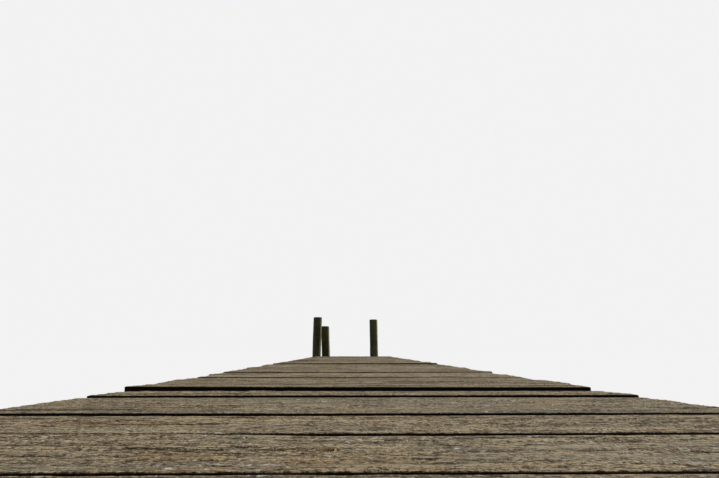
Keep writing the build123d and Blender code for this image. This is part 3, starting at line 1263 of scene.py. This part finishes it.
# %% [markdown]
# Nails by Geometry Nodes
#
# Every board has two nails into each stringer, so nearly three hundred heads repeat one small
# shape. Copying objects would work, but a Geometry Nodes tree keeps the head's sizes as named
# inputs and leans and turns each one by a seeded random. The points come from the boards, so a
# nail lies exactly on its worn surface.
#
# %% Start a tree, end it, and run it on points
def started(name, sizes):
    """A new tree with named inputs: its graph, and the wires of its points and its sizes."""
    tree = bpy.data.node_groups.new(name, "GeometryNodeTree")
    graph = Graph(tree)
    tree.interface.new_socket("Points", in_out="INPUT", socket_type="NodeSocketGeometry")
    for title, value in sizes.items():
        kind = "NodeSocketInt" if isinstance(value, int) else "NodeSocketFloat"
        tree.interface.new_socket(title, in_out="INPUT", socket_type=kind).default_value = value
    tree.interface.new_socket("Geometry", in_out="OUTPUT", socket_type="NodeSocketGeometry")
    entry = tree.nodes.new("NodeGroupInput")
    return graph, [Wire(tree, socket) for socket in entry.outputs[: len(sizes) + 1]]


def ended(graph, instances, material):
    """Makes the instances real, paints them and sends them out of the tree."""
    real = graph.add("GeometryNodeRealizeInstances", {}, {"Geometry": instances})
    painted = graph.add("GeometryNodeSetMaterial", {}, {"Geometry": real, "Material": material})
    graph.add("NodeGroupOutput", {}, {"Geometry": painted})
    return graph.tree


def grown(name, tree, points, sizes, vectors=None):
    """The plain mesh that a tree makes of some points, with its named inputs set to sizes."""
    mesh = bpy.data.meshes.new(name + "_points")
    mesh.from_pydata([tuple(p) for p in points], [], [])
    if vectors is not None:
        ways = mesh.attributes.new("way", "FLOAT_VECTOR", "POINT")
        ways.data.foreach_set("vector", np.array(vectors).ravel())
    holder = put_in_scene(name + "_points", mesh)
    modifier = holder.modifiers.new("grow", "NODES")
    modifier.node_group = tree
    for item in tree.interface.items_tree:
        if item.item_type == "SOCKET" and item.in_out == "INPUT" and item.name in sizes:
            modifier[item.identifier] = sizes[item.name]
    depsgraph = bpy.context.evaluated_depsgraph_get()
    made = bpy.data.meshes.new_from_object(holder.evaluated_get(depsgraph))
    bpy.data.objects.remove(holder)
    print(name, "grown on", len(points), "points,", len(made.polygons), "faces")
    return put_in_scene(name, made)


def at_random(graph, kind, least, most, seed):
    """A number or a vector drawn for each point between two limits."""
    limits = {"Min": least, "Max": most, "Seed": seed}
    return graph.add("FunctionNodeRandomValue", {"data_type": kind}, limits)


def vector(graph, x, y, z):
    """A vector of three numbers or wires."""
    return graph.add("ShaderNodeCombineXYZ", {}, {"X": x, "Y": y, "Z": z})


def frustum(graph, count, low, high, depth):
    """A round or many-sided block that may narrow towards its top."""
    cone = {"Vertices": count, "Radius Top": high, "Radius Bottom": low, "Depth": depth}
    return graph.add("GeometryNodeMeshCone", {}, cone, "Mesh")


# %% The nail tree
NAIL_SIZES = {"Head radius": 0.0038, "Head height": 0.001, "Lean": 0.12, "Seed": 3}


def nail_tree(material):
    """A flat head with a worn rim, leaned and turned at random on each point."""
    graph, (points, radius, height, lean, seed) = started("nail_heads", NAIL_SIZES)
    head = frustum(graph, 12, radius, radius * 0.74, height)
    least = vector(graph, lean * -1.0, lean * -1.0, 0.0)
    turn = at_random(graph, "FLOAT_VECTOR", least, vector(graph, lean, lean, 2 * pi), seed)
    size = at_random(graph, "FLOAT", 0.85, 1.15, seed)
    placed = {"Points": points, "Instance": head, "Rotation": turn, "Scale": size}
    return ended(graph, graph.add("GeometryNodeInstanceOnPoints", {}, placed), material)


nail_heads = grown("nail_heads", nail_tree(rust), nails, NAIL_SIZES)
hand_on(nail_heads, "deck_boards")

# %% [markdown]
# Bolts by Geometry Nodes
#
# Two long bolts pass through each pile and the pair of crossbeams that clamps it, and end in a
# square plate washer, a hexagon nut and a stub of rod. Each end is one point with a direction.
# The tree stands a washer, a nut and a rod on every point, and turns washer and nut by separate
# seeds, as a fitter leaves them.
#
# %% Where the bolts end
BOLT_SPREAD = 0.038  # from the middle of a crossbeam's depth
NUT_SINK = 0.004  # how far the nuts are let into the round back of the short post
beam_middle = (BEAM_LOW + BEAM_HIGH) / 2
bolt_ends = []
bolt_ways = []
for name in pole_nodes:
    front, back = seats(name)
    foot, head = (end[0] for end in pole_line(name))
    centre_x = foot[0] + (head[0] - foot[0]) * beam_middle / head[2]
    boxes = [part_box(beam) for beam in beam_nodes]
    faces = [(-1.0, low.y) for low, high in boxes if abs(high.y - front) < MERGE]
    faces += [(1.0, high.y) for low, high in boxes if abs(low.y - back) < MERGE]
    if back > cad_high.y:
        faces.append((1.0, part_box(name)[1].y - NUT_SINK))
    for way, face in faces:
        for step in (-BOLT_SPREAD, BOLT_SPREAD):
            bolt_ends.append((centre_x, face, beam_middle + step))
            bolt_ways.append((0.0, way, 0.0))
print("bolt ends", len(bolt_ends))


# %% The bolt tree
BOLT_SIZES = {
    "Washer side": 0.05,
    "Washer thickness": 0.005,
    "Nut width": 0.026,
    "Rod radius": 0.008,
    "Seed": 11,
}


def bolt_tree(material):
    """A plate washer, a hexagon nut and a rod end on each point, square to its direction."""
    graph, (points, side, thick, width, rod, seed) = started("bolt_ends", BOLT_SIZES)
    tree = graph.tree
    corner = width * (1 / sqrt(3))
    way = graph.add("GeometryNodeInputNamedAttribute", {"data_type": "FLOAT_VECTOR"}, {"Name": "way"})
    stand = graph.add("FunctionNodeAlignRotationToVector", {"axis": "Z"}, {"Vector": way})

    def spread(mesh, angle, swing, step):
        """A mesh on every point, turned about its own axis by up to a swing from an angle."""
        least, most = (vector(graph, 0.0, 0.0, angle + turn) for turn in (-swing, swing))
        turn = at_random(graph, "FLOAT_VECTOR", least, most, seed + step)
        spun = graph.add("FunctionNodeEulerToRotation", {}, {"Euler": turn})
        turns = {"Rotation": stand, "Rotate By": spun}
        both = graph.add("FunctionNodeRotateRotation", {"rotation_space": "LOCAL"}, turns)
        placed = {"Points": points, "Instance": mesh, "Rotation": both}
        return graph.add("GeometryNodeInstanceOnPoints", {}, placed)

    # Each block: corners, radius at its foot and its top, depth, and height over the wood.
    half = side * sqrt(0.5)
    washer = (
        (4, half, side * (sqrt(0.5) - 0.03), thick * 0.4, thick * 0.6),
        (4, half, half, thick * 0.6, 0.0),
    )
    nut = (
        (6, corner, corner, width * 0.42, thick),
        (6, corner, corner * 0.87, width * 0.09, thick + width * 0.42),
        (14, rod, rod, width * 0.3, thick + width * 0.45),
        (14, rod, rod * 0.8, rod * 0.25, thick + width * 0.75),
    )
    join = tree.nodes.new("GeometryNodeJoinGeometry")
    for blocks, angle, swing, step in ((washer, pi / 4, 0.12, 0.0), (nut, 0.0, pi, 1.0)):
        for count, low, high, depth, height in blocks:
            mesh = frustum(graph, count, low, high, depth)
            offset = {"Geometry": mesh, "Translation": vector(graph, 0.0, 0.0, height)}
            mesh = graph.add("GeometryNodeTransform", {}, offset)
            tree.links.new(spread(mesh, angle, swing, step).socket, join.inputs[0])
    return ended(graph, Wire(tree, join.outputs[0]), material)


bolts = grown("bolt_ends", bolt_tree(rust), bolt_ends, BOLT_SIZES, bolt_ways)
hand_on(bolts, "crossbeams")

# %% [markdown]
# Light, floor and background
#
# The photograph has a high sun from the right and beyond, which lights the top of every board
# and leaves the sides that face us dark. A wide soft lamp stands there, and a pale world fills
# the rest, so that a colour on level wood renders about as it is written. The floor is level
# with the feet of the piles.
#
# %% Lamps and world
SUN_HEIGHT = radians(42)
FILL, SEEN_TONE = 0.3, 0.89  # strength of the world as a light, and as the background seen

sun = put_in_scene("key_light", bpy.data.lights.new("key_light", "SUN"))
sun.data.energy = 3.4
sun.data.angle = radians(9)
level = cos(SUN_HEIGHT)
sun_way = Vector((cos(SUNNY_SIDE) * level, sin(SUNNY_SIDE) * level, sin(SUN_HEIGHT)))
sun.rotation_euler = sun_way.to_track_quat("Z", "Y").to_euler()

world = bpy.data.worlds.new("studio")
bpy.context.scene.world = world
world.use_nodes = True
studio = Graph(world.node_tree)
path = studio.tree.nodes.new("ShaderNodeLightPath")
rays = ("Camera", "Glossy", "Transmission")
seen = sum(Wire(studio.tree, path.outputs[f"Is {ray} Ray"]) for ray in rays)
strength = FILL + seen.sum("MINIMUM", seen, 1.0) * (SEEN_TONE - FILL)
white = studio.add("ShaderNodeBackground", {}, {"Color": (1.0, 1.0, 1.0, 1.0), "Strength": strength})
studio.add("ShaderNodeOutputWorld", {}, {"Surface": white})
print("sun from", tuple(round(v, 2) for v in sun_way), "fill", FILL)

# %% Floor
FLOOR_REACH = 120.0

floor_mesh = bpy.data.meshes.new("floor")
ways = ((-1, -1), (1, -1), (1, 1), (-1, 1))
floor_mesh.from_pydata([(x * FLOOR_REACH, y * FLOOR_REACH, 0) for x, y in ways], [], [(0, 1, 2, 3)])
floor = put_in_scene("floor", floor_mesh)
floor.location.z = cad_low.z - 0.001
floor_paint = Recipe("pale_floor")
matt = {"Specular IOR Level": 0.0}
floor_mesh.materials.append(floor_paint.surface((0.87, 0.87, 0.87, 1.0), 1.0, None, 0.0, **matt))

# %% Colour view
bpy.context.scene.view_settings.view_transform = "Standard"
